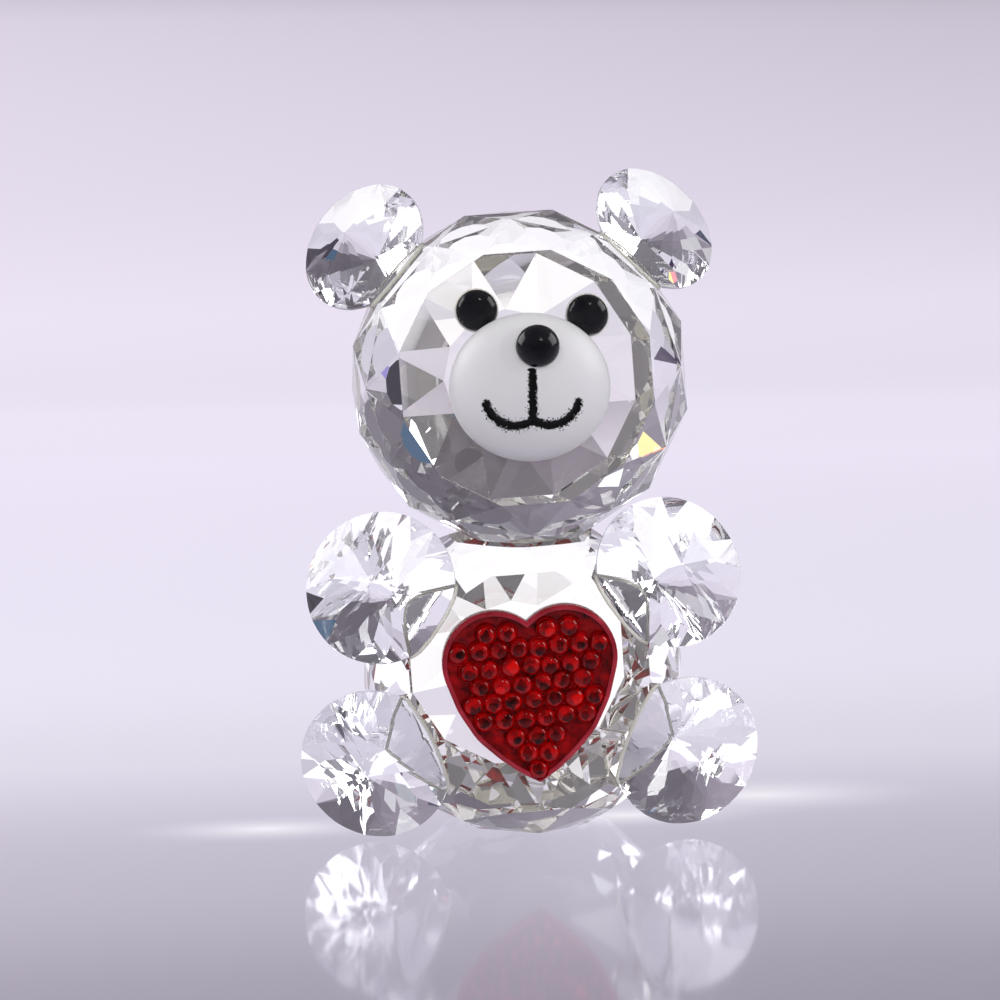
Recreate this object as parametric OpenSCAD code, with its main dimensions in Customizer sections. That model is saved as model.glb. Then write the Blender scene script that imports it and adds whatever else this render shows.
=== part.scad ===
// Seated teddy bear built from cut glass components, joined with clear adhesive.
// Millimetres, +Z up, the bear looks along -Y, origin at the centre of the ground base flat.

/* [Cut balls] */
// Radius to the facet corners of the body ball
body_r = 19.5; // [19.2:0.1:20]
// Radius to the facet corners of the head ball
head_r = 20.2; // [19.6:0.1:20.8]
// Height of the centre of the body ball above the base flat
body_z = 17.4; // [17.2:0.1:17.6]
// Facet corners around each ring of a ball
ball_sides = 12; // [10:2:16]
// Angle from the front pole to the edge of the large front flat
table_angle = 48; // [45:1:50]
// Angle between two rings of facet corners round the front and the sides
ring_step = 18; // [17:0.5:18]
// Angle from the front pole to the wide ring of facets at the back of the head
head_back_ring = 131; // [130:1:133]
// Angle from the front pole to the wide ring of facets at the back of the body
body_back_ring = 136; // [134:1:138]
// Turn of the ball facets about the front pole
ball_turn = 3; // [0:1:15]
// Upward tilt of the face
head_tilt = 6; // [0:0.5:8]
// Upward tilt of the front of the body
body_tilt = 1.5; // [0:0.5:3]

/* [Neck joint] */
// Height of the ground flat on top of the body ball
neck_z = 34.3; // [34.1:0.1:34.6]
// Distance from the head centre down to its ground flat
head_flat = 18.8; // [18.4:0.1:19]
// Thickness of the adhesive film in the neck
neck_film = 0.15; // [0.1:0.05:0.2]

/* [Cut discs] */
// Radius of an arm or a foot disc
limb_r = 8.95; // [8.6:0.05:9.2]
// Radius of an ear disc
ear_r = 8.1; // [7.8:0.05:8.3]
// Facets around a disc
disc_sides = 16; // [12:2:20]
// Slope of the main facets of a disc
disc_slope = 26; // [24:1:28]
// Width of the round girdle band of a disc
girdle = 0.5; // [0.4:0.1:0.8]
// Radius of the inner facet corners, as a share of the disc radius
star_share = 0.62; // [0.55:0.01:0.7]

/* [Disc joints] */
// Distance from the body centre to the flats ground for the arms
arm_flat = 18.2; // [18:0.1:18.4]
// Distance from the body centre to the flats ground for the feet
foot_flat = 17.9; // [17.7:0.1:18.1]
// Distance from the head centre to the flats ground for the ears
ear_flat = 18.9; // [18.7:0.1:19.1]
// Thickness of the adhesive film under a disc
disc_film = 0.12; // [0.1:0.01:0.15]

/* [Face] */
// Half width of the muzzle at its widest ring
muzzle_r = 9.25; // [9:0.05:9.4]
// Half width of the flat back of the muzzle
muzzle_foot_r = 7.2; // [7:0.1:7.3]
// Height of the muzzle's widest ring above the face
muzzle_waist = 2.4; // [2.4:0.1:2.8]
// Height of the muzzle
muzzle_h = 7.5; // [7.2:0.1:8]
// Height of the muzzle outline as a share of its width
muzzle_squash = 0.92; // [0.9:0.01:0.93]
// Depth of the engraved mouth
mouth_depth = 0.45; // [0.3:0.05:0.6]
// Width of the engraved mouth
mouth_w = 0.7; // [0.5:0.05:0.9]
// Radius of an eye
eye_r = 2.4; // [2.3:0.05:2.45]
// Height of an eye
eye_h = 1.95; // [1.6:0.05:2]
// Radius of the nose
nose_r = 2.5; // [2.4:0.05:2.6]
// Height of the nose
nose_h = 2.5; // [2.2:0.1:2.7]

/* [Heart] */
// Width of the heart
heart_w = 20.4; // [19.8:0.2:21]
// Thickness of the heart tray, rim included
heart_t = 2.2; // [2:0.1:2.6]
// Width of the raised rim of the heart
heart_rim = 0.55; // [0.5:0.05:0.6]
// Depth of the pocket inside the rim
heart_pocket = 0.9; // [0.6:0.1:1.2]
// Radius of a heart stone
stone_r = 1.1; // [0.9:0.05:1.1]
// Spacing of the stones
stone_pitch = 2.36; // [2.3:0.02:2.4]
// Turn of the heart about its own axis
heart_turn = 4; // [0:0.5:5]

/* [Hidden] */

// The bear's own left side is +X.
LEFT = 1;
RIGHT = -1;

glass = [0.86, 0.90, 0.95, 0.55];
frosted = [0.93, 0.93, 0.96];
jet = [0.05, 0.05, 0.06];
red_resin = [0.45, 0.04, 0.07];
red_glass = [0.62, 0.05, 0.08];
adhesive = [0.94, 0.92, 0.80];
enamel = [0.02, 0.02, 0.02];

head_z = neck_z + neck_film + head_flat;
neck_film_r = 4.75;
// Side of the blocks that cut flats, larger than any component
cutter = 60;
// Smallest overlap that keeps two joined shapes one solid
skin = 0.01;
// Facets of the round shapes, by how large they are
fine_sides = 64;
round_sides = 48;
small_sides = 24;

// Each disc joint: forward angle and rise of the joint seen from the ball centre, turn of the disc
// about the joint, tilt of the disc, height of its centre over the flat, reach out from the joint,
// and how much higher the left side of the bear sits, in degrees of rise.
ear_joint = [2, 43.5, -90, 42, 4.58, 4.41, 2.5];
arm_joint = [41.3, 31.6, -73, 32.5, 4.22, 4.78, 1.5];
foot_joint = [41.6, -17.9, -105, 35, 3.83, 4.65, 0.9];

// ---- cut ball ----

// The back is cut coarser than the front, so that the front flat looks into wide facets.
last_side_ring = 105;
wide_step = 25;
pole_ring = 171;
side_rings = [for (a = [table_angle : ring_step : last_side_ring]) a];

function ring_angles(back) = concat(side_rings, [back, back + wide_step, pole_ring]);
function ring_corner(r, rings, ring, k) =
    let (polar = rings[ring])
    let (around = (k + (ring % 2 == 0 ? 0.5 : 1)) * 360 / ball_sides + ball_turn)
    [r * sin(polar) * cos(around), -r * cos(polar), r * sin(polar) * sin(around)];

function ball_corners(r, rings) = [
    for (ring = [0 : len(rings) - 1], k = [0 : ball_sides - 1]) ring_corner(r, rings, ring, k)
];

module cut_ball(r, back) {
    corners = ball_corners(r, ring_angles(back));
    hull()
        polyhedron(points = corners, faces = [for (k = [1 : len(corners) - 2]) [0, k, k + 1]]);
}

// ---- cut disc ----

// A disc has two pointed sides. Kite facets run from the point out to the girdle and are flat,
// with a ring of triangles between them along the girdle. The girdle corners reach past the round
// edge, so that the edge is scalloped.
girdle_reach = 1.04;

function kite_fall(r, h) = (h - girdle / 2) / r;

function disc_half(r, h, side) =
    let (step = 360 / disc_sides)
    let (wide = r * girdle_reach)
    let (star = r * star_share)
    let (fall = kite_fall(r, h))
    concat(
        [[0, 0, side * h]],
        [for (k = [0 : disc_sides - 1])
            [star * cos((k + 0.5) * step), star * sin((k + 0.5) * step),
                side * (h - fall * star * cos(step / 2))]],
        [for (k = [0 : disc_sides - 1])
            [wide * cos(k * step), wide * sin(k * step), side * (h - fall * wide)]]
    );

module cut_disc(r) {
    h = r * tan(disc_slope) + girdle / 2;
    intersection() {
        hull()
            polyhedron(
                points = concat(disc_half(r, h, 1), disc_half(r, h, -1)),
                faces = [for (k = [1 : 4 * disc_sides]) [0, k, k + 1]]
            );
        cylinder(h = 4 * h, r = r, center = true, $fn = 4 * disc_sides);
    }
}

// ---- joints ----

// The joint's own frame: the flat on the ball is the plane z = 0, and +z points out of the ball.
module at_joint(joint, centre_z, flat, side) {
    translate([0, 0, centre_z])
        mirror([side == RIGHT ? 1 : 0, 0, 0])
            rotate([0, 90 - joint[1] - side * joint[6], -joint[0]])
                rotate([0, 0, joint[2]])
                    translate([0, 0, flat])
                        children();
}

module flat_cutter(joint, centre_z, flat, side) {
    at_joint(joint, centre_z, flat, side)
        slab(0, cutter);
}

module whole_disc(joint, r) {
    translate([-joint[5], 0, disc_film + joint[4]])
        rotate([0, joint[3], 0])
            rotate([0, 0, 180 / disc_sides])
                cut_disc(r);
}

module slab(low, high) {
    translate([-cutter / 2, -cutter / 2, low])
        cube([cutter, cutter, high - low]);
}

module glued_disc(joint, centre_z, flat, r, side) {
    at_joint(joint, centre_z, flat, side)
        intersection() {
            whole_disc(joint, r);
            slab(disc_film, cutter / 2);
        }
}

// The film fills the footprint of the disc on the ball.
module disc_glue(joint, centre_z, flat, r, side) {
    at_joint(joint, centre_z, flat, side)
        intersection() {
            whole_disc(joint, r);
            slab(0, disc_film);
        }
}

// ---- balls ----

module body_ball() {
    color(glass)
        difference() {
            translate([0, 0, body_z])
                rotate([-body_tilt, 0, 0])
                    cut_ball(body_r, body_back_ring);
            slab(-cutter, 0);
            slab(neck_z, cutter);
            for (side = [LEFT, RIGHT]) {
                flat_cutter(arm_joint, body_z, arm_flat, side);
                flat_cutter(foot_joint, body_z, foot_flat, side);
            }
        }
}

module head_ball() {
    color(glass)
        difference() {
            translate([0, 0, head_z])
                rotate([-head_tilt, 0, 0])
                    cut_ball(head_r, head_back_ring);
            slab(head_z - head_flat - cutter, head_z - head_flat);
            for (side = [LEFT, RIGHT])
                flat_cutter(ear_joint, head_z, ear_flat, side);
        }
}

module neck_glue() {
    color(adhesive)
        translate([0, 0, neck_z])
            cylinder(h = neck_film, r = neck_film_r, $fn = round_sides);
}

// ---- ears, arms and feet ----

module ear(side) {
    color(glass)
        glued_disc(ear_joint, head_z, ear_flat, ear_r, side);
}

module arm(side) {
    color(glass)
        glued_disc(arm_joint, body_z, arm_flat, limb_r, side);
}

module foot(side) {
    color(glass)
        glued_disc(foot_joint, body_z, foot_flat, limb_r, side);
}

module ear_glue(side) {
    color(adhesive)
        disc_glue(ear_joint, head_z, ear_flat, ear_r, side);
}

module arm_glue(side) {
    color(adhesive)
        disc_glue(arm_joint, body_z, arm_flat, limb_r, side);
}

module foot_glue(side) {
    color(adhesive)
        disc_glue(foot_joint, body_z, foot_flat, limb_r, side);
}

module ear_left() { ear(LEFT); }
module ear_right() { ear(RIGHT); }
module arm_left() { arm(LEFT); }
module arm_right() { arm(RIGHT); }
module foot_left() { foot(LEFT); }
module foot_right() { foot(RIGHT); }
module ear_left_glue() { ear_glue(LEFT); }
module ear_right_glue() { ear_glue(RIGHT); }
module arm_left_glue() { arm_glue(LEFT); }
module arm_right_glue() { arm_glue(RIGHT); }
module foot_left_glue() { foot_glue(LEFT); }
module foot_right_glue() { foot_glue(RIGHT); }

// ---- face ----

face_film = 0.1;
head_table = head_r * cos(table_angle);
muzzle_at = [0.2, -1];
eye_right_at = [-5.6, 7.9];
eye_left_at = [7.1, 7.1];
eye_foot_r = 2.3;
nose_at = [0.7, 4.45];
nose_cut = 0.5;
nose_foot_r = 2.2;
dome_steps = 9;
muzzle_top_r = 0.2;
// The corner between the muzzle's undercut foot and its waist: how far in, and its share of the waist
shoulder_in = 0.45;
shoulder_share = 0.6;
// How far the edge of an adhesive film stays inside the face that it holds
film_inset = 0.1;
// How far the paint lies under the muzzle's surface, and how far it stays from the nose
paint_sunk = 0.06;
paint_gap = 0.05;
// Height of a button's straight edge, as a share of its height
edge_share = 0.25;
dome_h = muzzle_h - muzzle_waist;
// Where the nose sits along the muzzle's dome, from 0 at its middle to 1 at its waist
nose_share = nose_at[1] / (muzzle_r * muzzle_squash);
nose_seat = muzzle_waist + dome_h * sqrt(1 - nose_share * nose_share) - nose_cut;
nose_lean = atan(dome_h / (muzzle_r * muzzle_squash) * nose_share / sqrt(1 - nose_share * nose_share));

// The frame of a piece on the face: the face flat is the plane z = 0, +z points out of it, +y is up.
module on_face(at) {
    translate([0, 0, head_z])
        rotate([-head_tilt, 0, 0])
            translate([at[0], -head_table, at[1]])
                rotate([90, 0, 0])
                    children();
}

// Profile of the muzzle as [radius, height] pairs: an undercut foot, then a quarter ellipse.
function muzzle_profile(inset) = concat(
    [[muzzle_foot_r - inset, inset], [muzzle_r - shoulder_in - inset, muzzle_waist * shoulder_share]],
    [for (k = [0 : dome_steps - 1])
        [(muzzle_r - inset) * cos(k * 90 / dome_steps),
            muzzle_waist + (dome_h - inset) * sin(k * 90 / dome_steps)]]
);

module muzzle_form(inset) {
    profile = muzzle_profile(inset);
    hull() {
        for (p = profile)
            translate([0, 0, p[1]])
                linear_extrude(skin)
                    scale([1, muzzle_squash])
                        circle(r = p[0], $fn = round_sides);
        translate([0, 0, muzzle_h - inset - skin])
            linear_extrude(skin)
                circle(r = muzzle_top_r, $fn = round_sides);
    }
}

smile_r = 3.4;
smile_at = [1.95, -0.9];
smile_from = -125;
smile_to = -15;
mouth_top = 2.8;
mouth_bottom = -3.8;

module smile_half() {
    translate(smile_at)
        intersection() {
            difference() {
                circle(r = smile_r + mouth_w / 2, $fn = fine_sides);
                circle(r = smile_r - mouth_w / 2, $fn = fine_sides);
            }
            polygon([
                [0, 0],
                for (k = [0 : 4])
                    let (a = smile_from + (smile_to - smile_from) * k / 4)
                    2 * smile_r * [cos(a), sin(a)]
            ]);
        }
    translate(smile_at + smile_r * [cos(smile_to), sin(smile_to)])
        circle(r = mouth_w / 2, $fn = small_sides);
}

module mouth_lines() {
    translate([0, 0, muzzle_waist])
        linear_extrude(muzzle_h) {
            translate([-mouth_w / 2, mouth_bottom])
                square([mouth_w, mouth_top - mouth_bottom]);
            smile_half();
            mirror([1, 0, 0])
                smile_half();
        }
}

module muzzle() {
    color(frosted)
        on_face(muzzle_at)
            translate([0, 0, face_film])
                difference() {
                    muzzle_form(0);
                    difference() {
                        mouth_lines();
                        muzzle_form(mouth_depth);
                    }
                    at_nose()
                        slab(0, cutter);
                }
}

module mouth_paint() {
    color(enamel)
        on_face(muzzle_at)
            translate([0, 0, face_film])
                difference() {
                    intersection() {
                        mouth_lines();
                        muzzle_form(paint_sunk);
                    }
                    muzzle_form(mouth_depth);
                    at_nose()
                        slab(-paint_gap, cutter);
                }
}

module muzzle_glue() {
    color(adhesive)
        on_face(muzzle_at)
            linear_extrude(face_film)
                scale([1, muzzle_squash])
                    circle(r = muzzle_foot_r - film_inset, $fn = round_sides);
}

// The seat ground on the muzzle for the nose, leaning up with the curve of the muzzle.
module at_nose() {
    translate([nose_at[0], nose_at[1], nose_seat])
        rotate([-nose_lean, 0, 0])
            children();
}

// A polished button: a short straight edge under a low dome.
module button(r, h, foot) {
    edge = edge_share * h;
    rotate_extrude($fn = fine_sides)
        intersection() {
            union() {
                polygon([[0, 0], [foot, 0], [r, edge], [r, edge + skin], [0, edge + skin]]);
                translate([0, edge])
                    scale([1, (h - edge) / r])
                        circle(r = r, $fn = fine_sides);
            }
            square([r, h]);
        }
}

module nose() {
    color(jet)
        on_face(muzzle_at)
            translate([0, 0, face_film])
                at_nose()
                    translate([0, 0, face_film])
                        button(nose_r, nose_h, nose_foot_r);
}

module nose_glue() {
    color(adhesive)
        on_face(muzzle_at)
            translate([0, 0, face_film])
                at_nose()
                    cylinder(h = face_film, r = nose_foot_r - film_inset, $fn = round_sides);
}

module eye(at) {
    color(jet)
        on_face(at)
            translate([0, 0, face_film])
                button(eye_r, eye_h, eye_foot_r);
}

module eye_glue(at) {
    color(adhesive)
        on_face(at)
            cylinder(h = face_film, r = eye_foot_r, $fn = round_sides);
}

module eye_left() { eye(eye_left_at); }
module eye_right() { eye(eye_right_at); }
module eye_left_glue() { eye_glue(eye_left_at); }
module eye_right_glue() { eye_glue(eye_right_at); }

// ---- heart ----

heart_film = 0.15;
body_table = body_r * cos(table_angle);
heart_at = [0.1, 0.1];
// Circles inside one half of the outline, from the lobe down to the tip, as [x, y, radius]
heart_circles = [
    [4.1, 4.1, 6.1], [2.4, 1.65, 7], [2.05, -1.05, 6], [1.75, -4.2, 4], [1.15, -7.25, 2], [0, -9.9, 0.35]
];
heart_drawn_w = 20.4;
heart_scale = heart_w / heart_drawn_w;
rim_step = heart_rim / 3;
// Stones of each row, top row first, in half pitches from the centre line; each has a mirror twin
stone_rows = [[2, 4], [1, 3, 5, 7], [0, 2, 4, 6], [1, 3, 5], [0, 2, 4, 6], [1, 3, 5], [0, 2], [1], [0]];
stone_top_row = 7.5;
row_pitch = stone_pitch * sqrt(3) / 2;
stone_h = 1.5;
seat_depth = 0.2;
heart_floor = heart_t - heart_pocket;

module on_chest() {
    translate([0, 0, body_z])
        rotate([-body_tilt, 0, 0])
            translate([heart_at[0], -body_table, heart_at[1]])
                rotate([90, 0, 0])
                    rotate([0, 0, heart_turn])
                        children();
}

module heart_outline(inset) {
    offset(delta = -inset)
        scale(heart_scale)
            for (side = [0, 1])
                mirror([side, 0])
                    hull()
                        for (c = heart_circles)
                            translate([c[0], c[1]])
                                circle(r = c[2], $fn = round_sides);
}

module heart_base() {
    color(red_resin)
        on_chest()
            translate([0, 0, heart_film])
                difference() {
                    union() {
                        linear_extrude(heart_t - rim_step)
                            heart_outline(0);
                        linear_extrude(heart_t)
                            heart_outline(rim_step);
                    }
                    translate([0, 0, heart_floor])
                        linear_extrude(heart_t)
                            heart_outline(heart_rim);
                    at_stones()
                        cylinder(h = heart_t, r = stone_r, $fn = small_sides);
                }
}

// Places its children at the seat of every stone.
module at_stones() {
    for (row = [0 : len(stone_rows) - 1])
        for (k = stone_rows[row])
            for (side = k == 0 ? [RIGHT] : [LEFT, RIGHT])
                translate([
                    side * k * heart_scale * stone_pitch / 2,
                    heart_scale * (stone_top_row - row * row_pitch),
                    heart_floor - seat_depth
                ])
                    children();
}

// A round stone: straight girdle, domed top.
stone_dome_r = 1.35 * stone_r;

module stone() {
    rotate_extrude($fn = small_sides)
        intersection() {
            translate([0, stone_h - stone_dome_r])
                circle(r = stone_dome_r, $fn = round_sides);
            square([stone_r, stone_h]);
        }
}

module heart_stones() {
    color(red_glass)
        on_chest()
            translate([0, 0, heart_film])
                at_stones()
                    stone();
}

module heart_glue() {
    color(adhesive)
        on_chest()
            linear_extrude(heart_film)
                heart_outline(heart_rim);
}

body_ball();
head_ball();
ear_left();
ear_right();
arm_left();
arm_right();
foot_left();
foot_right();
muzzle();
mouth_paint();
nose();
eye_left();
eye_right();
heart_base();
heart_stones();
neck_glue();
ear_left_glue();
ear_right_glue();
arm_left_glue();
arm_right_glue();
foot_left_glue();
foot_right_glue();
muzzle_glue();
nose_glue();
eye_left_glue();
eye_right_glue();
heart_glue();
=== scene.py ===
"""Looks of a seated bear of cut glass: clear balls and pointed discs, a frosted muzzle, a red heart."""
import math
import random

import bmesh
import bpy
from mathutils import Matrix, Vector, geometry, noise


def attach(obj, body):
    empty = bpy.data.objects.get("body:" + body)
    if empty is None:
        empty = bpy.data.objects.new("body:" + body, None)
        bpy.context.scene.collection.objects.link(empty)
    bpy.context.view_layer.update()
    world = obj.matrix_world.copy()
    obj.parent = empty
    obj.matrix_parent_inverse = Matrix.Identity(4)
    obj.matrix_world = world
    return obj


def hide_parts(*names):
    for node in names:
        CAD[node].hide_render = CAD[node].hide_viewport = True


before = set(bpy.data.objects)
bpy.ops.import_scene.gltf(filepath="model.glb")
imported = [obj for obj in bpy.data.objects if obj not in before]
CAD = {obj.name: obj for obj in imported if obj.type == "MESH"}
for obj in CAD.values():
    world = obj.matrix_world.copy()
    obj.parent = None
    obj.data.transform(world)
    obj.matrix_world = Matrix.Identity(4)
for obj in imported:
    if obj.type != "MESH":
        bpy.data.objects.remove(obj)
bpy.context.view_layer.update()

MM = 0.001
BODY = "root"
DISCS = [f"{part}_{side}" for part in ("ear", "arm", "foot") for side in ("left", "right")]
EYES = ["eye_left", "eye_right"]


# ---- materials ----

def new_material(name, color, **values):
    """A Principled material. Values are socket names with _ for a space."""
    mat = bpy.data.materials.new(name)
    mat.use_nodes = True
    bsdf = mat.node_tree.nodes["Principled BSDF"]
    bsdf.inputs["Base Color"].default_value = (*color, 1)
    for key, value in values.items():
        bsdf.inputs[key.replace("_", " ")].default_value = value
    return mat


def map_range(tree, value, low, high, to_low=0.0, to_high=1.0):
    """Maps low..high of a socket to to_low..to_high. Returns the output socket."""
    node = tree.nodes.new("ShaderNodeMapRange")
    limits = {"From Min": low, "From Max": high, "To Min": to_low, "To Max": to_high}
    for key, number in limits.items():
        node.inputs[key].default_value = number
    tree.links.new(value, node.inputs["Value"])
    return node.outputs["Result"]


# The range that a noise texture mostly keeps to
NOISE_LOW, NOISE_HIGH = 0.3, 0.7
FINE_DETAIL = 4


def noise_value(mat, scale, detail, low, high):
    """A noise in the object's own coordinates, mapped to low..high. Returns the output socket."""
    nodes, links = mat.node_tree.nodes, mat.node_tree.links
    coord = nodes.new("ShaderNodeTexCoord")
    tex = nodes.new("ShaderNodeTexNoise")
    tex.inputs["Scale"].default_value = scale
    tex.inputs["Detail"].default_value = detail
    links.new(coord.outputs["Object"], tex.inputs["Vector"])
    return map_range(mat.node_tree, tex.outputs["Fac"], NOISE_LOW, NOISE_HIGH, low, high)


def vary_color(mat, scale, dark, light, detail=3):
    """Base colour that drifts between two colours."""
    nodes, links = mat.node_tree.nodes, mat.node_tree.links
    mix = nodes.new("ShaderNodeMix")
    mix.data_type = "RGBA"
    mix.inputs["A"].default_value = (*dark, 1)
    mix.inputs["B"].default_value = (*light, 1)
    links.new(noise_value(mat, scale, detail, 0, 1), mix.inputs["Factor"])
    links.new(mix.outputs["Result"], nodes["Principled BSDF"].inputs["Base Color"])


def vary_roughness(mat, scale, low, high):
    """Roughness that drifts between two values."""
    links = mat.node_tree.links
    links.new(noise_value(mat, scale, FINE_DETAIL, low, high),
              mat.node_tree.nodes["Principled BSDF"].inputs["Roughness"])


def add_bump(mat, scale, distance, strength):
    """A fine relief on the surface."""
    nodes, links = mat.node_tree.nodes, mat.node_tree.links
    bump = nodes.new("ShaderNodeBump")
    bump.inputs["Distance"].default_value = distance
    bump.inputs["Strength"].default_value = strength
    links.new(noise_value(mat, scale, FINE_DETAIL, 0, 1), bump.inputs["Height"])
    links.new(bump.outputs["Normal"], nodes["Principled BSDF"].inputs["Normal"])


def let_through(mat, share, tint):
    """Most of the light passes straight through and takes a tint; a small share meets the surface."""
    nodes, links = mat.node_tree.nodes, mat.node_tree.links
    clear = nodes.new("ShaderNodeBsdfTransparent")
    clear.inputs["Color"].default_value = (*tint, 1)
    mix = nodes.new("ShaderNodeMixShader")
    mix.inputs["Fac"].default_value = share
    links.new(clear.outputs[0], mix.inputs[1])
    links.new(nodes["Principled BSDF"].outputs[0], mix.inputs[2])
    links.new(mix.outputs[0], nodes["Material Output"].inputs["Surface"])


crystal = new_material("crystal_glass", (1, 1, 1), Transmission_Weight=1, IOR=1.54, Roughness=0)
vary_color(crystal, 60, (0.965, 0.975, 0.99), (1, 1, 1))

# The glued faces let light straight through: the adhesive fills the joint.
bonded = new_material("bonded_face", (0.95, 0.94, 0.86), Roughness=0.5)
vary_color(bonded, 300, (0.95, 0.93, 0.84), (0.97, 0.96, 0.9))
let_through(bonded, 0.05, (0.985, 0.98, 0.95))

adhesive = new_material("clear_adhesive", (1, 0.98, 0.9), Transmission_Weight=0.55, IOR=1.48,
                        Roughness=0.15)
vary_color(adhesive, 900, (0.97, 0.95, 0.82), (1, 1, 0.94))

frosted = new_material("frosted_glass", (1, 1, 1), Transmission_Weight=0.42, IOR=1.5,
                       Roughness=0.42)
vary_color(frosted, 140, (0.97, 0.97, 0.985), (1, 1, 1))
add_bump(frosted, 5200, 0.00003, 0.35)

black_glass = new_material("black_glass", (0.006, 0.006, 0.008), IOR=1.52, Roughness=0.14,
                           Specular_IOR_Level=0.25)
vary_color(black_glass, 500, (0.004, 0.004, 0.006), (0.012, 0.012, 0.014))

enamel = new_material("black_enamel", (0.004, 0.004, 0.004), Roughness=0.35,
                      Specular_IOR_Level=0.2)
vary_roughness(enamel, 2500, 0.25, 0.6)

foil = new_material("silver_backing", (0.86, 0.86, 0.88), Metallic=1, Roughness=0.28)
vary_roughness(foil, 700, 0.22, 0.4)

resin = new_material("red_resin", (0.5, 0.004, 0.01), Transmission_Weight=0.2, IOR=1.5,
                     Roughness=0.12, Specular_IOR_Level=0.15)
vary_color(resin, 620, (0.025, 0.0, 0.0), (0.46, 0.002, 0.004))

# A lighter, pinker copy of the red resin for the front of the rim: a painted highlight
rim_resin_painted_light = new_material("red_resin_rim_painted_light", (0.6, 0.03, 0.05), IOR=1.5, Roughness=0.15)
vary_color(rim_resin_painted_light, 420, (0.22, 0.005, 0.012), (0.42, 0.022, 0.04))


def red_stone(name, dark, light, gloss):
    """Red glass of one colour; also used for the darker and brighter copies that are painted shade and
    painted glints.
    """
    mat = new_material(name, light, Transmission_Weight=0.25, IOR=1.5, Roughness=0.05,
                       Specular_IOR_Level=gloss)
    vary_color(mat, 900, dark, light, detail=1)
    return mat


red_glass = red_stone("red_stone", (0.16, 0.0, 0.001), (0.64, 0.001, 0.002), gloss=0.25)
# Copies of the red glass for the middle of a stone: a darker one as painted shade, a brighter one as a
# painted glint
red_painted_shade = red_stone("red_stone_painted_shade", (0.012, 0.0, 0.0), (0.2, 0.0, 0.0), gloss=0.12)
red_painted_glint = red_stone("red_stone_painted_glint", (0.7, 0.0, 0.0), (0.95, 0.004, 0.002), gloss=0.25)


# ---- geometry helpers ----

FLAT_ANGLE, SMOOTH_ANGLE = math.radians(0.6), math.radians(0.05)
WELD = 2e-6


def cad_bmesh(node, angle=FLAT_ANGLE):
    """The CAD node's solid with its triangles joined into the flat faces that were cut."""
    bm = bmesh.new()
    bm.from_mesh(CAD[node].data)
    bmesh.ops.transform(bm, matrix=CAD[node].matrix_world, verts=bm.verts)
    bmesh.ops.remove_doubles(bm, verts=bm.verts, dist=WELD)
    bmesh.ops.dissolve_limit(bm, angle_limit=angle, verts=bm.verts, edges=bm.edges)
    return bm


def make_piece(name, bm, materials, replaces):
    """Turns a bmesh into a named piece of the bear."""
    mesh = bpy.data.meshes.new(name)
    bm.to_mesh(mesh)
    bm.free()
    obj = bpy.data.objects.new(name, mesh)
    bpy.context.scene.collection.objects.link(obj)
    for mat in materials:
        mesh.materials.append(mat)
    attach(obj, BODY)
    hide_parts(*replaces)
    return obj


def glue_planes(node):
    """The two large flat faces of a glue film, as [(normal, offset, outline), ...]."""
    bm = cad_bmesh(node)
    faces = sorted(bm.faces, key=lambda f: -f.calc_area())[:2]
    found = []
    for face in faces:
        outline = [v.co.copy() for v in face.verts]
        found.append((face.normal.copy(), face.normal.dot(outline[0]), outline))
    bm.free()
    return found


def outer_plane(film):
    """The plane of a film's face that looks out of the bear, as (normal, offset)."""
    planes = glue_planes(film)
    normal = max((n for n, _, _ in planes), key=lambda n: -n.y)
    return normal, max(p.dot(normal) for _, _, outline in planes for p in outline)


FLAT_TOLERANCE, PARALLEL_TOLERANCE = 0.03 * MM, 1e-4
SEAM, OUTLINE_TOLERANCE = 1e-7, 1e-9
# The materials of a cut component and of a film, in order: its own, and that of the glued faces
OWN, GLUED = 0, 1


def on_plane(face, normal, offset):
    """True where a face lies in the plane, whichever way it looks."""
    return abs(abs(face.normal.dot(normal)) - 1) < PARALLEL_TOLERANCE and all(
        abs(v.co.dot(normal) - offset) < FLAT_TOLERANCE for v in face.verts)


def bond_footprint(bm, plane):
    """Splits the flat that a film touches along the film's outline, and marks the inside as glued."""
    normal, offset, outline = plane
    for face in [f for f in bm.faces if on_plane(f, normal, offset)]:
        up = face.normal
        side = up.orthogonal().normalized()
        across = up.cross(side)
        origin = face.verts[0].co.copy()
        corners = [v.co.copy() for v in face.verts]
        flat = [Vector(((p - origin).dot(side), (p - origin).dot(across))) for p in corners + outline]
        n = len(corners)
        loops = [list(range(n)), list(range(n, len(flat)))]
        points, _, tris, _, _, owners = geometry.delaunay_2d_cdt(flat, [], loops, 1, OUTLINE_TOLERANCE)
        verts = [bm.verts.new(origin + side * p.x + across * p.y) for p in points]
        # a triangle names the outlines that hold it: 0 is the flat's, and 1 is the film's
        for tri, owner in zip(tris, owners):
            if 0 in owner:
                new = bm.faces.new([verts[i] for i in tri])
                new.normal_update()
                if new.normal.dot(up) < 0:
                    new.normal_flip()
                new.material_index = GLUED if 1 in owner else OWN
        bm.faces.remove(face)
        bmesh.ops.remove_doubles(bm, verts=bm.verts, dist=SEAM)


# Width of the hairline bevel on the edges of the cut facets
BEVEL = 0.012 * MM


def cut_glass(node, films):
    """A cut glass component: sharp flat facets with a hairline bevel, and its glued faces marked."""
    bm = cad_bmesh(node)
    bmesh.ops.bevel(bm, geom=list(bm.edges), offset=BEVEL, segments=1, affect="EDGES", profile=0.5,
                    clamp_overlap=True)
    for film in films:
        for plane in glue_planes(film):
            bond_footprint(bm, plane)
    bmesh.ops.recalc_face_normals(bm, faces=bm.faces)
    return make_piece(node + "_cut", bm, [crystal, bonded], [node])


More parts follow.
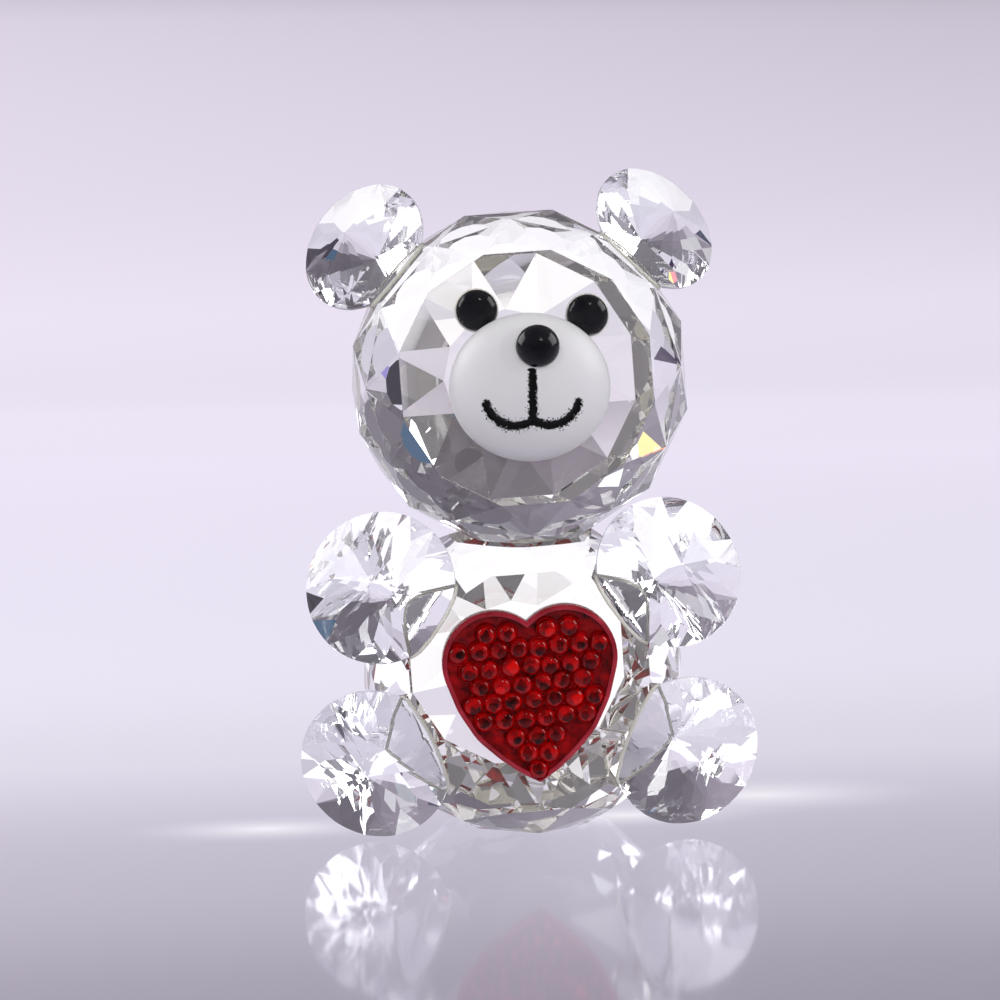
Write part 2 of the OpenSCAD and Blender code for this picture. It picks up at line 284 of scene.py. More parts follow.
LIMBS = [disc for disc in DISCS if not disc.startswith("ear")]
cut_glass("body_ball", ["neck_glue", "heart_glue"] + [limb + "_glue" for limb in LIMBS])
cut_glass("head_ball", ["neck_glue", "muzzle_glue", "ear_left_glue", "ear_right_glue"]
          + [eye + "_glue" for eye in EYES])
for disc in DISCS:
    cut_glass(disc, [disc + "_glue"])


# ---- adhesive ----

def centroid(points):
    """The mean of some points."""
    return sum(points, Vector()) / len(points)


def add_tube(bm, path, radius, sides=8):
    """A closed tube along a closed path."""
    rings = []
    n = len(path)
    middle = centroid(path)
    for i, p in enumerate(path):
        along = (path[(i + 1) % n] - path[i - 1]).normalized()
        out = p - middle
        out = (out - along * out.dot(along)).normalized()
        rise = along.cross(out)
        rings.append([bm.verts.new(p + radius * (out * math.cos(a) + rise * math.sin(a)))
                      for a in (2 * math.pi * k / sides for k in range(sides))])
    for i in range(n):
        a, b = rings[i], rings[(i + 1) % n]
        for k in range(sides):
            face = bm.faces.new((a[k], a[(k + 1) % sides], b[(k + 1) % sides], b[k]))
            face.smooth = True


def resample(path, step):
    """Points at even spacing along a closed path."""
    out = []
    n = len(path)
    for i in range(n):
        a, b = path[i], path[(i + 1) % n]
        pieces = max(1, round((b - a).length / step))
        out += [a.lerp(b, k / pieces) for k in range(pieces)]
    return out


# The bead along the edge of a film, the room left round the film, and the spacing along the bead
BEAD, FILM_INSET, BEAD_STEP = 0.23 * MM, 0.02 * MM, 0.25 * MM
# A drop of adhesive that stayed on the chest beside the tip of the heart, dried to a ring
DROP_AT, DROP_R, DROP_BEAD, DROP_STEPS = (-5.7 * MM, -6.6 * MM), 1.5 * MM, 0.14 * MM, 40


def film_piece(node):
    """A thin clear film between two flats, with the bead that squeezed out round its edge."""
    (n1, d1, low), (n2, d2, _) = glue_planes(node)
    thickness = abs(d1 + d2) if n1.dot(n2) < 0 else abs(d1 - d2)
    middle = centroid(low)
    # both faces use one outline, so that the film is a straight slab
    bm = bmesh.new()
    inner = [middle + (p - middle) * (1 - FILM_INSET / (p - middle).length) for p in low]
    bottom = [bm.verts.new(p - n1 * FILM_INSET) for p in inner]
    top = [bm.verts.new(p - n1 * (thickness - FILM_INSET)) for p in inner]
    bm.faces.new(bottom)
    bm.faces.new(top[::-1])
    for i in range(len(inner)):
        j = (i + 1) % len(inner)
        bm.faces.new((bottom[j], bottom[i], top[i], top[j]))
    bmesh.ops.triangulate(bm, faces=[f for f in bm.faces if len(f.verts) > 4])
    for face in bm.faces:
        face.material_index = GLUED
    path = resample([p - n1 * thickness / 2 for p in low], BEAD_STEP)
    add_tube(bm, path, BEAD)
    if node == "heart_glue":
        up = (Vector((0, 0, 1)) - n1 * n1.z).normalized()
        right = up.cross(Vector((0, -1, 0))).normalized()
        drop = middle + right * DROP_AT[0] + up * DROP_AT[1]
        ring = [drop + DROP_R * (right * math.cos(a) + up * math.sin(a))
                for a in (2 * math.pi * k / DROP_STEPS for k in range(DROP_STEPS))]
        add_tube(bm, ring, DROP_BEAD)
    bmesh.ops.recalc_face_normals(bm, faces=bm.faces)
    return make_piece(node + "_film", bm, [adhesive, bonded], [node])


for part in ["neck", "muzzle", "nose", "heart"] + DISCS + EYES:
    film_piece(part + "_glue")


# ---- smooth pieces ----

# Corners sharper than this are softened, by this much
SHARP, SOFTENED = math.radians(40), 0.12 * MM


def smooth_copy(node, name, material):
    """A copy of the CAD solid with smooth shading and softened corners."""
    bm = cad_bmesh(node, SMOOTH_ANGLE)
    edges = [e for e in bm.edges if len(e.link_faces) == 2 and e.calc_face_angle(0) > SHARP]
    bmesh.ops.bevel(bm, geom=edges, offset=SOFTENED, segments=3, affect="EDGES", profile=0.5,
                    clamp_overlap=True)
    obj = make_piece(name, bm, [material], [node])
    obj.data.shade_smooth()
    obj.data.set_sharp_from_angle(angle=SHARP)
    return obj


for eye in EYES:
    smooth_copy(eye, eye + "_bead", black_glass)
smooth_copy("nose", "nose_bead", black_glass)


# ---- heart ----

# How deep the lighter front of the rim reaches, a painted highlight, and how squarely a face looks back
# where it is silvered
HEART_RIM_DEPTH, SILVERED = 0.5 * MM, -0.9


def build_tray():
    """The red tray: its back is silvered, and the front of the rim is a lighter red, a painted highlight
    where light catches the rim.
    """
    tray = smooth_copy("heart_base", "heart_tray", resin)
    materials = [resin, foil, rim_resin_painted_light]
    for mat in materials[1:]:
        tray.data.materials.append(mat)
    out = outer_plane("heart_glue")[0]
    front = max(v.co.dot(out) for v in tray.data.vertices)
    for polygon in tray.data.polygons:
        if polygon.normal.dot(out) < SILVERED:
            polygon.material_index = materials.index(foil)
        # the front of the rim gets the painted highlight
        elif polygon.center.dot(out) > front - HEART_RIM_DEPTH:
            polygon.material_index = materials.index(rim_resin_painted_light)


build_tray()


def islands(bm):
    """The separate solids of a bmesh, each as a list of points."""
    seen, found = set(), []
    for start in bm.verts:
        if start in seen:
            continue
        seen.add(start)
        stack, island = [start], []
        while stack:
            v = stack.pop()
            island.append(v.co.copy())
            for edge in v.link_edges:
                other = edge.other_vert(v)
                if other not in seen:
                    seen.add(other)
                    stack.append(other)
        found.append(island)
    return found


STONE_SEED = 7
# The painted shade patch of a stone, as a share of its radius, and how many stones get a painted glint there
# instead
SHADE_SPOT, SHADE_SPREAD = Vector((0.1, -0.15)), 0.3
SHADE_SHARE, GLINT_SHARE = (0.38, 0.62), 0.08
RAGGED, RAGGED_SCALE, SEED_REACH = 0.5, 2.2, 50
STONE_SWELL, STONE_SHIFT = (1.04, 1.16), 0.12 * MM
STONE_AROUND, STONE_STEPS, DOME_SHARE = 36, 12, 0.62
# The collar of resin: how thick it is, and how far out and up it sits as a share of that
COLLAR, COLLAR_OUT, COLLAR_UP = 0.1 * MM, 0.3, 0.2


def circle(foot, axes, radius, height):
    """Points round the axis of a stone, at a height over its foot."""
    out, across, along = axes
    turns = [2 * math.pi * j / STONE_AROUND for j in range(STONE_AROUND)]
    return [foot + out * height + radius * (across * math.cos(a) + along * math.sin(a)) for a in turns]


def add_dome(bm, foot, axes, radius, height):
    """A round wall with a dome on it. Returns its faces without the bottom, and the wall's height."""
    dome = height * DOME_SHARE
    wall = height - dome
    angles = [math.pi / 2 * k / STONE_STEPS for k in range(STONE_STEPS)]
    rings = [(radius, 0.0)] + [(radius * math.cos(a), wall + dome * math.sin(a)) for a in angles]
    loops = [[bm.verts.new(p) for p in circle(foot, axes, r, h)] for r, h in rings]
    top = bm.verts.new(foot + axes[0] * height)
    bm.faces.new(loops[0][::-1])
    faces = []
    for j in range(STONE_AROUND):
        i = (j + 1) % STONE_AROUND
        faces += [bm.faces.new((a[j], a[i], b[i], b[j])) for a, b in zip(loops, loops[1:])]
        faces.append(bm.faces.new((loops[-1][j], loops[-1][i], top)))
    return faces, wall


def build_gems():
    """Domed red stones with painted shade near the middle, a few with a painted glint there instead, each in
    the ring of resin that rose round it.
    """
    dice = random.Random(STONE_SEED)
    materials = [red_glass, resin, red_painted_shade, red_painted_glint]
    source = cad_bmesh("heart_stones", SMOOTH_ANGLE)
    stones = islands(source)
    source.free()
    out = outer_plane("heart_glue")[0]
    across = out.orthogonal().normalized()
    axes = out, across, out.cross(across)
    up = (Vector((0, 0, 1)) - out * out.z).normalized()
    right = up.cross(out)
    bm = bmesh.new()
    for island in stones:
        middle = centroid(island)
        heights = [p.dot(out) for p in island]
        low, high = min(heights), max(heights)
        radius = dice.uniform(*STONE_SWELL) * max(
            (p - middle - out * (p - middle).dot(out)).length for p in island)
        shift_x, shift_y = [dice.uniform(-STONE_SHIFT, STONE_SHIFT) for _ in "xy"]
        foot = middle + out * (low - middle.dot(out)) + (right * shift_x + up * shift_y)
        faces, wall = add_dome(bm, foot, axes, radius, high - low)
        # painted shade in the middle of most stones, a painted glint on a few
        patch = materials.index(red_painted_glint if dice.random() < GLINT_SHARE else red_painted_shade)
        spot = SHADE_SPOT + Vector([dice.uniform(-SHADE_SPREAD, SHADE_SPREAD) for _ in "xy"])
        share, seed = dice.uniform(*SHADE_SHARE), dice.uniform(0, SEED_REACH)
        for face in faces:
            face.smooth = True
            away = (face.calc_center_median() - foot) / radius
            x, y = away.dot(right), away.dot(up)
            ragged = 1 + RAGGED * noise.noise(Vector((x * RAGGED_SCALE, y * RAGGED_SCALE, seed)))
            if (Vector((x, y)) - spot).length < share * ragged:
                face.material_index = patch
        before = len(bm.faces)
        ring = circle(foot, axes, radius + COLLAR * COLLAR_OUT, wall + COLLAR * COLLAR_UP)
        add_tube(bm, ring, COLLAR, sides=6)
        bm.faces.ensure_lookup_table()
        for face in bm.faces[before:]:
            face.material_index = materials.index(resin)
    bmesh.ops.recalc_face_normals(bm, faces=bm.faces)
    return make_piece("heart_gems", bm, materials, ["heart_stones"])


# ---- muzzle and mouth ----

face_normal, face_offset = outer_plane("muzzle_glue")
face_up = (Vector((0, 0, 1)) - face_normal * face_normal.z).normalized()
face_right = face_up.cross(face_normal)
seat_normal, _ = outer_plane("nose_glue")
seat_offset = min(p.dot(seat_normal) for _, _, outline in glue_planes("nose_glue") for p in outline)


def face_extent(node, axis):
    """Lowest and highest reach of a CAD node along an axis."""
    reach = [(CAD[node].matrix_world @ v.co).dot(axis) for v in CAD[node].data.vertices]
    return min(reach), max(reach)


low_x, high_x = face_extent("muzzle", face_right)
low_y, high_y = face_extent("muzzle", face_up)
MUZZLE_A, MUZZLE_B = (high_x - low_x) / 2, (high_y - low_y) / 2
MUZZLE_H = face_extent("muzzle", face_normal)[1] - face_offset
MUZZLE_MIDDLE = (face_right * (low_x + high_x) / 2 + face_up * (low_y + high_y) / 2
                 + face_normal * face_offset)
# Height of the widest ring over the film, and the size of the foot as a share of that ring
MUZZLE_WAIST, MUZZLE_FOOT = 2.4 * MM, 0.79
# The mouth: its groove, the arc to each side and the line down from the nose
GROOVE_DEPTH, GROOVE_HALF = 0.34 * MM, 0.6 * MM
SMILE_R, SMILE_X, SMILE_Y = 3.4 * MM, 1.95 * MM, -0.9 * MM
SMILE_FROM, SMILE_TO = math.radians(-125), math.radians(-15)
LIP_TOP, LIP_BOTTOM = 2.8 * MM, -3.8 * MM


def mouth_distance(x, y):
    """Distance of a point of the muzzle from the middle of the engraved mouth line."""
    best = math.hypot(x, y - min(max(y, LIP_BOTTOM), LIP_TOP))
    dx, dy = abs(x) - SMILE_X, y - SMILE_Y
    a = math.atan2(dy, dx)
    a = a - 2 * math.pi if a > SMILE_TO + math.pi / 2 else a
    a = min(max(a, SMILE_FROM), SMILE_TO)
    return min(best, math.hypot(dx - SMILE_R * math.cos(a), dy - SMILE_R * math.sin(a)))


def groove_fall(x, y):
    """How deep the mouth is engraved at a point of the muzzle."""
    d = mouth_distance(x, y) / GROOVE_HALF
    return GROOVE_DEPTH * (1 - d * d) ** 2 if d < 1 else 0.0


def on_muzzle(x, y, h):
    """A point of the muzzle, pushed down to the ground seat of the nose where it would stand over it."""
    p = MUZZLE_MIDDLE + face_right * x + face_up * y + face_normal * h
    over = p.dot(seat_normal) - seat_offset
    return p - seat_normal * over if over > 0 else p


def dome_height(x, y):
    """Height of the dome before it is engraved."""
    rho = min(1.0, (x / MUZZLE_A) ** 2 + (y / MUZZLE_B) ** 2)
    return MUZZLE_WAIST + (MUZZLE_H - MUZZLE_WAIST) * math.sqrt(1 - rho)


def build_muzzle(around=300, steps=80, foot_steps=8):
    """The frosted dome with the mouth engraved in it."""
    bm = bmesh.new()
    rings = []
    for k in range(1, steps + 1):
        t = math.pi / 2 * k / steps
        rings.append((math.sin(t), None))
    for k in range(1, foot_steps + 1):
        t = math.pi / 2 * k / foot_steps
        rings.append((1 - (1 - MUZZLE_FOOT) * (1 - math.cos(t)), MUZZLE_WAIST * (1 - math.sin(t))))
    loops = []
    for rho, height in rings:
        loop = []
        for j in range(around):
            a = 2 * math.pi * j / around
            x, y = MUZZLE_A * rho * math.cos(a), MUZZLE_B * rho * math.sin(a)
            h = dome_height(x, y) - groove_fall(x, y) if height is None else height
            loop.append(bm.verts.new(on_muzzle(x, y, h)))
        loops.append(loop)
    top = bm.verts.new(on_muzzle(0, 0, MUZZLE_H - groove_fall(0, 0)))
    for j in range(around):
        i = (j + 1) % around
        bm.faces.new((top, loops[0][j], loops[0][i]))
        for a, b in zip(loops, loops[1:]):
            bm.faces.new((a[j], b[j], b[i], a[i]))
    bm.faces.new(loops[-1][::-1])
    for face in bm.faces:
        face.smooth = len(face.verts) < 5
    bmesh.ops.recalc_face_normals(bm, faces=bm.faces)
    return make_piece("muzzle_dome", bm, [frosted], ["muzzle"])


# The enamel: size of a cell of its mesh, width and height of the patch that it may cover, how high
# the patch and the paint start, and how far it stands off and how thick it is
ENAMEL_CELL, ENAMEL_PATCH = 0.07 * MM, (11.6 * MM, 9 * MM)
ENAMEL_TOP, PAINT_TOP = 3.4 * MM, 2.2 * MM
ENAMEL_LIFT, ENAMEL_COAT = 0.02 * MM, 0.025 * MM
# Half width of the paint, the furthest that it strays and the noises of its ragged edge, in millimetres
PAINT_HALF, PAINT_REACH, EDGE_NOISES = 0.48, 1.0, ((3.5, 0.2), (9, 0.22))
# Specks under the smile: where they start, how far out they reach, and how they thin out
SPECK_TOP, SPECK_REACH, SPECK_FROM, SPECK_THIN = -2.2 * MM, 0.9, 0.04, 0.42
SPECK_SCALE, SPECK_SHIFT = 6, Vector((9, 4, 2))


def is_painted(x, y):
    """True where the enamel covers the muzzle."""
    d = mouth_distance(x, y) / MM
    if d > PAINT_REACH or y > PAINT_TOP:
        return False
    place = Vector((x, y, 0)) / MM
    rough = sum(noise.noise(place * scale) * size for scale, size in EDGE_NOISES)
    speck = noise.noise(place * SPECK_SCALE + SPECK_SHIFT)
    under = y < SPECK_TOP and d < SPECK_REACH and speck > SPECK_FROM + SPECK_THIN * d
    return d + rough < PAINT_HALF or under


def build_mouth():
    """Black enamel rubbed into the engraving, with the ragged edge that rubbing leaves."""
    bm = bmesh.new()
    nx, ny = [round(reach / ENAMEL_CELL) for reach in ENAMEL_PATCH]
    grid = {}

    def place_at(i, j):
        return (i - nx / 2) * ENAMEL_CELL, ENAMEL_TOP - j * ENAMEL_CELL

    def corner(i, j):
        if (i, j) not in grid:
            x, y = place_at(i, j)
            h = dome_height(x, y) - groove_fall(x, y) + ENAMEL_LIFT
            grid[i, j] = bm.verts.new(on_muzzle(x, y, h))
        return grid[i, j]

    for i in range(nx):
        for j in range(ny):
            if is_painted(*place_at(i + 0.5, j + 0.5)):
                face = bm.faces.new((corner(i, j), corner(i, j + 1), corner(i + 1, j + 1), corner(i + 1, j)))
                face.smooth = True
    obj = make_piece("mouth_enamel", bm, [enamel], ["mouth_paint"])
    shell = obj.modifiers.new("thickness", "SOLIDIFY")
    shell.thickness = ENAMEL_COAT
    shell.offset = 0
    return obj


build_muzzle()
build_mouth()
build_gems()


# ---- stage ----

def to_linear(color):
    """A colour in sRGB 0-255 as linear numbers."""
    return [c / 12.92 if c <= 0.04045 else ((c + 0.055) / 1.055) ** 2.4 for c in (v / 255 for v in color)]


def ramp(tree, value, stops):
    """A ramp over (position, (r, g, b)) stops. Returns the output socket."""
    node = tree.nodes.new("ShaderNodeValToRGB")
    elements = node.color_ramp.elements
    while len(elements) < len(stops):
        elements.new(0.5)
    for element, (position, color) in zip(elements, stops):
        element.position = position
        element.color = (*color, 1)
    tree.links.new(value, node.inputs["Fac"])
    return node.outputs["Color"]


def calculate(tree, operation, *values):
    """A Math node over two values, each a socket or a number. Returns the output socket."""
    node = tree.nodes.new("ShaderNodeMath")
    node.operation = operation
    for socket, value in zip(node.inputs, values):
        if isinstance(value, bpy.types.NodeSocket):
            tree.links.new(value, socket)
        else:
            socket.default_value = value
    return node.outputs["Value"]


# Pools of light on the floor beside the feet, as (centre, size) in metres
LIT_SPOTS = [((0.029, 0.009), (0.026, 0.012)), ((-0.031, -0.002), (0.02, 0.008)),
             ((0.012, 0.0), (0.022, 0.008))]
SPOT_COLOUR = (1.15, 1.13, 1.2)
SWEEP_FROM, SWEEP_TO = -1.5, 1.5
SWEEP_HALF_WIDTH, BEND_STEPS = 3, 12
WALL_Y, WALL_BEND, WALL_TOP = 0.62, 0.3, 0.9
FLOOR_PROFILE = [(-3.0, 0), (-1, 0), (-0.3, 0), (0, 0), (0.15, 0)]
FLOOR_GAP = 0.06 * MM
PAPER_COLOUR = (0.03, 0.029, 0.032)
# The gloss is only on the floor: it fades out over this height up the sweep
GLOSS_TOP, FLOOR_GLOSS, GLOSS_ROUGHNESS, GLOSS_IOR = 0.02, 0.86, 0.065, 1.6
GLOSS_COLOUR = (0.97, 0.96, 1)
# The light falls off towards the right, and the more so the higher up
FALL_FROM, FALL_TO = -0.15, 0.14
RIGHT_FALL = [(0.36, 0.0), (0.6, 0.2), (0.7, 0.6), (1.3, 0.6)]
# Brightness from the front edge of the sweep to its top, by depth plus height in metres
STAGE_COLOURS = [
    (-1.2, (150, 146, 158)),
    (-0.3, (148, 144, 156)),
    (-0.12, (156, 152, 166)),
    (-0.074, (176, 171, 188)),
    (-0.04, (202, 197, 213)),
    (-0.006, (215, 210, 227)),
    (0.01, (226, 221, 238)),
    (0.034, (243, 238, 252)),
    (0.073, (245, 241, 254)),
    (0.156, (240, 236, 251)),
    (0.267, (238, 233, 249)),
    (0.386, (239, 233, 249)),
    (0.457, (237, 229, 246)),
    (0.512, (231, 223, 240)),
    (0.57, (227, 219, 236)),
    (0.61, (222, 214, 231)),
    (0.65, (180, 174, 188)),
    (0.7, (154, 145, 159)),
    (1.1, (132, 123, 137)),
    (1.4, (132, 123, 137)),
]


def along_sweep(stops):
    """Stops given in metres along the sweep, as positions on a ramp."""
    return [((metres - SWEEP_FROM) / (SWEEP_TO - SWEEP_FROM), color) for metres, color in stops]


def stage_mesh():
    """A flat floor that bends up into a wall."""
    bm = bmesh.new()
    profile = list(FLOOR_PROFILE)
    for k in range(BEND_STEPS + 1):
        a = math.pi / 2 * k / BEND_STEPS
        profile.append((WALL_Y - WALL_BEND + WALL_BEND * math.sin(a), WALL_BEND - WALL_BEND * math.cos(a)))
    profile.append((WALL_Y, WALL_TOP))
    rows = [[bm.verts.new((x, y, z - FLOOR_GAP)) for x in (-SWEEP_HALF_WIDTH, SWEEP_HALF_WIDTH)]
            for y, z in profile]
    for a, b in zip(rows, rows[1:]):
        face = bm.faces.new((a[0], a[1], b[1], b[0]))
        face.smooth = True
    mesh = bpy.data.meshes.new("stage_sweep")
    bm.to_mesh(mesh)
    bm.free()
    return mesh


def empty_material(name):
    """A material without nodes. Returns it with its node tree."""
    mat = bpy.data.materials.new(name)
    mat.use_nodes = True
    mat.node_tree.nodes.clear()
    return mat, mat.node_tree


def add_spot(tree, coord, color, centre, size):
    """A soft pool of light that the glass throws on the floor."""
    mapping = tree.nodes.new("ShaderNodeMapping")
    mapping.vector_type = "TEXTURE"
    mapping.inputs["Location"].default_value = (*centre, 0)
    mapping.inputs["Scale"].default_value = (*size, 1)
    tree.links.new(coord.outputs["Object"], mapping.inputs["Vector"])
    ball = tree.nodes.new("ShaderNodeTexGradient")
    ball.gradient_type = "QUADRATIC_SPHERE"
    tree.links.new(mapping.outputs["Vector"], ball.inputs["Vector"])
    mix = tree.nodes.new("ShaderNodeMix")
    mix.data_type = "RGBA"
    mix.inputs["B"].default_value = (*SPOT_COLOUR, 1)
    tree.links.new(ball.outputs["Fac"], mix.inputs["Factor"])
    tree.links.new(color, mix.inputs["A"])
    return mix.outputs["Result"]


def stage_material():
    """Pale paper, lit evenly and glossy where it is the floor."""
    mat, tree = empty_material("stage_paper")
    nodes, links = tree.nodes, tree.links
    coord = nodes.new("ShaderNodeTexCoord")
    split = nodes.new("ShaderNodeSeparateXYZ")
    links.new(coord.outputs["Object"], split.inputs["Vector"])
    total = calculate(tree, "ADD", split.outputs["Y"], split.outputs["Z"])
    along = map_range(tree, total, SWEEP_FROM, SWEEP_TO)
    color = ramp(tree, along, along_sweep([(y, to_linear(c)) for y, c in STAGE_COLOURS]))
    rightward = map_range(tree, split.outputs["X"], FALL_FROM, FALL_TO)
    upward = ramp(tree, along, along_sweep([(y, (v, v, v)) for y, v in RIGHT_FALL]))
    for centre, size in LIT_SPOTS:
        color = add_spot(tree, coord, color, centre, size)
    glow = nodes.new("ShaderNodeEmission")
    links.new(calculate(tree, "SUBTRACT", 1, calculate(tree, "MULTIPLY", rightward, upward)),
              glow.inputs["Strength"])
    links.new(color, glow.inputs["Color"])
    paper = nodes.new("ShaderNodeBsdfDiffuse")
    paper.inputs["Color"].default_value = (*PAPER_COLOUR, 1)
    sheet = nodes.new("ShaderNodeAddShader")
    links.new(glow.outputs[0], sheet.inputs[0])
    links.new(paper.outputs[0], sheet.inputs[1])
    gloss = nodes.new("ShaderNodeBsdfGlossy")
    gloss.inputs["Roughness"].default_value = GLOSS_ROUGHNESS
    gloss.inputs["Color"].default_value = (*GLOSS_COLOUR, 1)
    film = map_range(tree, split.outputs["Z"], 0, GLOSS_TOP, FLOOR_GLOSS, 0)
    fresnel = nodes.new("ShaderNodeFresnel")
    fresnel.inputs["IOR"].default_value = GLOSS_IOR
    mix = nodes.new("ShaderNodeMixShader")
    links.new(calculate(tree, "MULTIPLY", fresnel.outputs["Fac"], film), mix.inputs["Fac"])
    links.new(sheet.outputs[0], mix.inputs[1])
    links.new(gloss.outputs[0], mix.inputs[2])
    out = nodes.new("ShaderNodeOutputMaterial")
    links.new(mix.outputs[0], out.inputs["Surface"])
    return mat


def add_stage():
    """One seamless floor and backdrop."""
    obj = bpy.data.objects.new("stage_sweep", stage_mesh())
    bpy.context.scene.collection.objects.link(obj)
    obj.data.materials.append(stage_material())
    return obj


sweep = add_stage()

# The lamps light the bear, and the glossy floor doesn't mirror them.
unlit = bpy.data.collections.new("not_lit_by_lamps")
unlit.objects.link(sweep)
unlit.collection_objects[0].light_linking.link_state = "EXCLUDE"


LAMP_AIM = Vector((0, 0, 0.04))


def softbox(name, at, size, strength):
    """A soft rectangular lamp aimed at the bear. Strength is its brightness."""
    lamp = bpy.data.lights.new(name, "AREA")
    lamp.shape = "RECTANGLE"
    lamp.size, lamp.size_y = size
    lamp.energy = strength * math.pi * size[0] * size[1]
    obj = bpy.data.objects.new(name, lamp)
    bpy.context.scene.collection.objects.link(obj)
    obj.location = at
    obj.rotation_mode = "QUATERNION"
    obj.rotation_quaternion = (LAMP_AIM - Vector(at)).to_track_quat("-Z", "Y")
    obj.visible_camera = False
    obj.light_linking.receiver_collection = unlit
    return obj


softbox("light_left", (-0.72, 0.2, 0.5), (0.7, 0.5), 4.5)
softbox("light_right", (0.75, 0.0, 0.5), (0.7, 0.5), 4.0)
softbox("light_spark", (0.2, -0.6, 0.75), (0.06, 0.06), 30)
# This one fills the painted and frosted pieces. The glass stays dark where it looks back at the camera.
fill = softbox("light_fill", (0.0, -0.9, 0.35), (0.4, 0.3), 11)
fill.visible_glossy = False
fill.visible_transmission = False

HIDDEN_FROM = ("camera", "glossy", "diffuse", "shadow", "volume_scatter")
CARD_ORIGIN = (0, 0, 0.055)


def card(name, turn, rise, reach, width, height, color, origin=CARD_ORIGIN):
    """A small card facing the bear, seen only through the glass. Angles are in degrees, from straight
    behind and from level."""
    turn, rise = math.radians(turn), math.radians(rise)
    away = Vector((math.sin(turn) * math.cos(rise), math.cos(turn) * math.cos(rise), math.sin(rise)))
    side = Vector((math.cos(turn), -math.sin(turn), 0))
    up = side.cross(away)
    middle = Vector(origin) + away * reach
    corners = [middle + side * a * width / 2 + up * b * height / 2
               for a, b in ((-1, -1), (1, -1), (1, 1), (-1, 1))]
    mesh = bpy.data.meshes.new(name)
    mesh.from_pydata([tuple(c) for c in corners], [], [(0, 1, 2, 3)])
    mat, tree = empty_material(name)
    glow = tree.nodes.new("ShaderNodeEmission")
    glow.inputs["Color"].default_value = (*color, 1)
    out = tree.nodes.new("ShaderNodeOutputMaterial")
    tree.links.new(glow.outputs[0], out.inputs["Surface"])
    mesh.materials.append(mat)
    obj = bpy.data.objects.new(name, mesh)
    bpy.context.scene.collection.objects.link(obj)
    for ray in HIDDEN_FROM:
        setattr(obj, "visible_" + ray, False)
    return obj


CARDS = [
    # name, turn, rise, reach, width, height, colour
    ("card_violet", -49, -11, 0.25, 0.04, 0.025, (0.055, 0.03, 0.085)),
    ("card_slate", -32, 1.5, 0.3, 0.045, 0.03, (0.07, 0.08, 0.13)),
    ("card_mauve", -177, -9, 0.2, 0.05, 0.03, (0.13, 0.05, 0.065)),
    ("card_pink", -45.5, 18, 0.3, 0.012, 0.045, (1.1, 0.45, 0.5)),
    ("card_orange", -43, 18, 0.3, 0.012, 0.045, (1.3, 0.5, 0.2)),
    ("card_yellow", -40.5, 18, 0.3, 0.012, 0.045, (1.5, 1.15, 0.5)),
    ("card_white_small", -37, 18, 0.3, 0.02, 0.045, (1.4, 1.4, 1.4)),
    ("card_cyan", -34, 27, 0.3, 0.016, 0.022, (0.35, 1.2, 1.2)),
    ("card_pale", -25, 25, 0.3, 0.05, 0.03, (1.2, 1.25, 1.3)),
    ("card_teal", -36, 33, 0.3, 0.05, 0.03, (0.05, 0.075, 0.09)),
    ("card_blue", 28.5, 10, 0.35, 0.03, 0.035, (0.06, 0.12, 0.21)),
    ("card_black", 36, 0, 0.35, 0.06, 0.06, (0.03, 0.025, 0.04)),
    ("card_lilac", 50, -8, 0.2, 0.014, 0.014, (0.32, 0.27, 0.7)),
    ("card_left", -62, 10, 0.5, 0.2, 0.22, (0.85, 0.84, 0.88)),
    ("card_behind", -25, 15, 0.45, 0.16, 0.07, (0.68, 0.66, 0.71)),
    ("card_camera_side", 171, -2.5, 0.24, 0.13, 0.05, (0.76, 0.74, 0.79)),
]
for values in CARDS:
    card(*values)


CARD_OFF_FLOOR, CARD_SINK = 0.0015, 0.001


def floor_card(name, near, far, half_width, color):
    """A card lying on the floor from one depth to another. Depth grows away from the camera."""
    origin = (0, (near + far) / 2, CARD_OFF_FLOOR)
    return card(name, 0, -90, CARD_SINK, 2 * half_width, abs(far - near), color, origin)


# Seen only through the glass: a painted pool of light on the floor behind the bear, and painted shade on the
# floor in front
floor_card("card_floor_painted_light", 0.025, 0.13, 0.16, (1.15, 1.12, 1.18))
floor_card("card_floor_painted_shade", -0.068, -0.17, 0.14, (0.19, 0.175, 0.2))

# Brightness of the side towards the camera and how far back it is full, and colours by height
WORLD_FRONT, WORLD_FULL = 0.42, 0.4
WORLD_COLOURS = [(0.0, (190, 185, 198)), (0.3, (160, 156, 166)), (1.0, (120, 117, 125))]


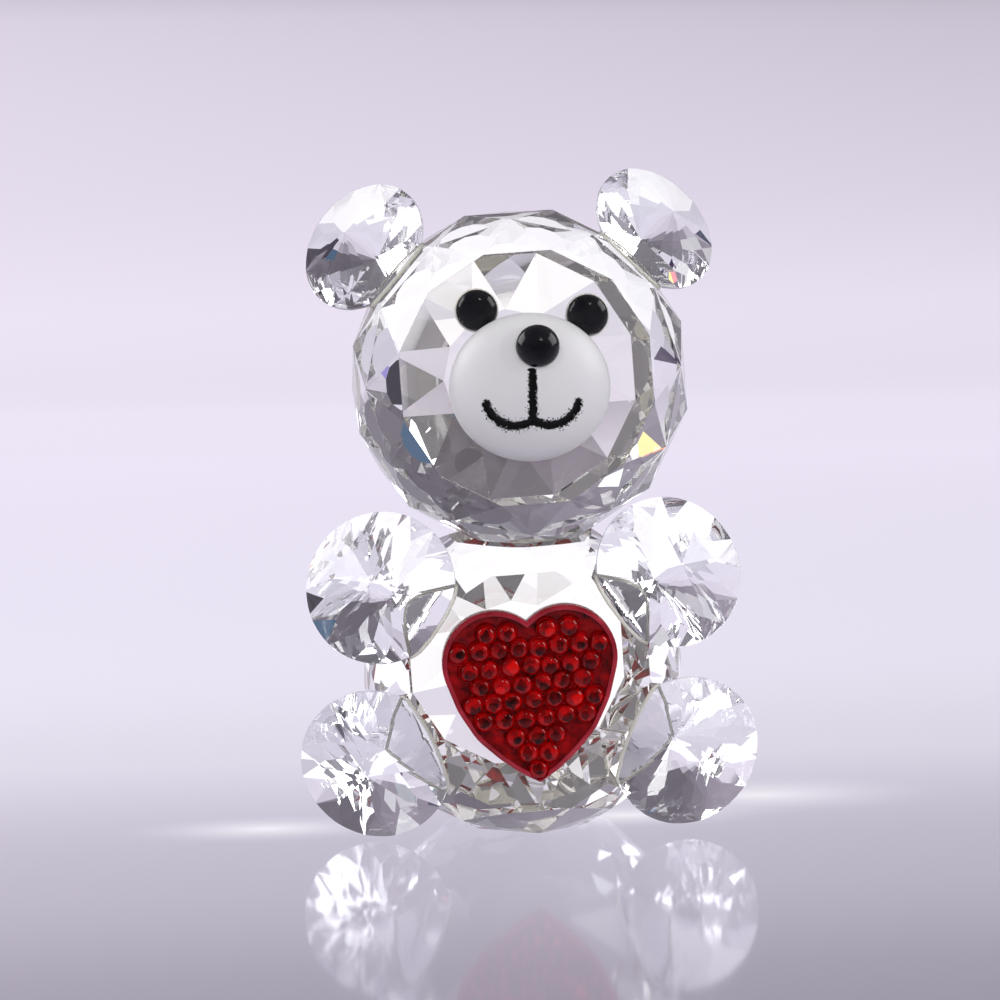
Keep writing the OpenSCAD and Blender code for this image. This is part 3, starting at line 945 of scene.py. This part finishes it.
def build_world():
    """Studio surroundings: paler at the horizon, dark overhead and towards the camera's side."""
    world = bpy.data.worlds.new("studio")
    bpy.context.scene.world = world
    world.use_nodes = True
    tree = world.node_tree
    coord = tree.nodes.new("ShaderNodeTexCoord")
    split = tree.nodes.new("ShaderNodeSeparateXYZ")
    tree.links.new(coord.outputs["Generated"], split.inputs["Vector"])
    back = tree.nodes["Background"]
    color = ramp(tree, split.outputs["Z"], [(z, to_linear(c)) for z, c in WORLD_COLOURS])
    tree.links.new(color, back.inputs["Color"])
    tree.links.new(map_range(tree, split.outputs["Y"], -1, WORLD_FULL, WORLD_FRONT, 1),
                   back.inputs["Strength"])


build_world()


# ---- camera ----

CAMERA_AZIMUTH, CAMERA_RISE, CAMERA_ROLL = math.radians(-3.2), math.radians(8.3), math.radians(0.9)
CAMERA_DISTANCE, CAMERA_LENS = 0.481, 145.7
TARGET_RIGHT, TARGET_HEIGHT = -2.53 * MM, 38.6 * MM


def place_camera():
    """A long lens, a little above the bear and a little to its right."""
    cam = bpy.data.cameras.new("camera")
    cam.lens = CAMERA_LENS
    cam.sensor_width = 36
    cam.clip_start, cam.clip_end = 0.01, 20
    obj = bpy.data.objects.new("camera", cam)
    bpy.context.scene.collection.objects.link(obj)
    a, e = CAMERA_AZIMUTH, CAMERA_RISE
    back = Vector((math.sin(a) * math.cos(e), -math.cos(a) * math.cos(e), math.sin(e)))
    right = Vector((math.cos(a), math.sin(a), 0))
    target = Vector((0, 0, TARGET_HEIGHT)) + right * TARGET_RIGHT
    obj.location = target + back * CAMERA_DISTANCE
    turn = (-back).to_track_quat("-Z", "Y")
    obj.rotation_mode = "QUATERNION"
    obj.rotation_quaternion = turn @ Matrix.Rotation(-CAMERA_ROLL, 3, "Z").to_quaternion()
    bpy.context.scene.camera = obj


place_camera()

scene = bpy.context.scene
scene.view_settings.view_transform = "Standard"
scene.cycles.max_bounces = 32
scene.cycles.transmission_bounces = 32
scene.cycles.glossy_bounces = 12
scene.cycles.transparent_max_bounces = 64
scene.cycles.use_denoising = True
scene.cycles.sample_clamp_indirect = 4
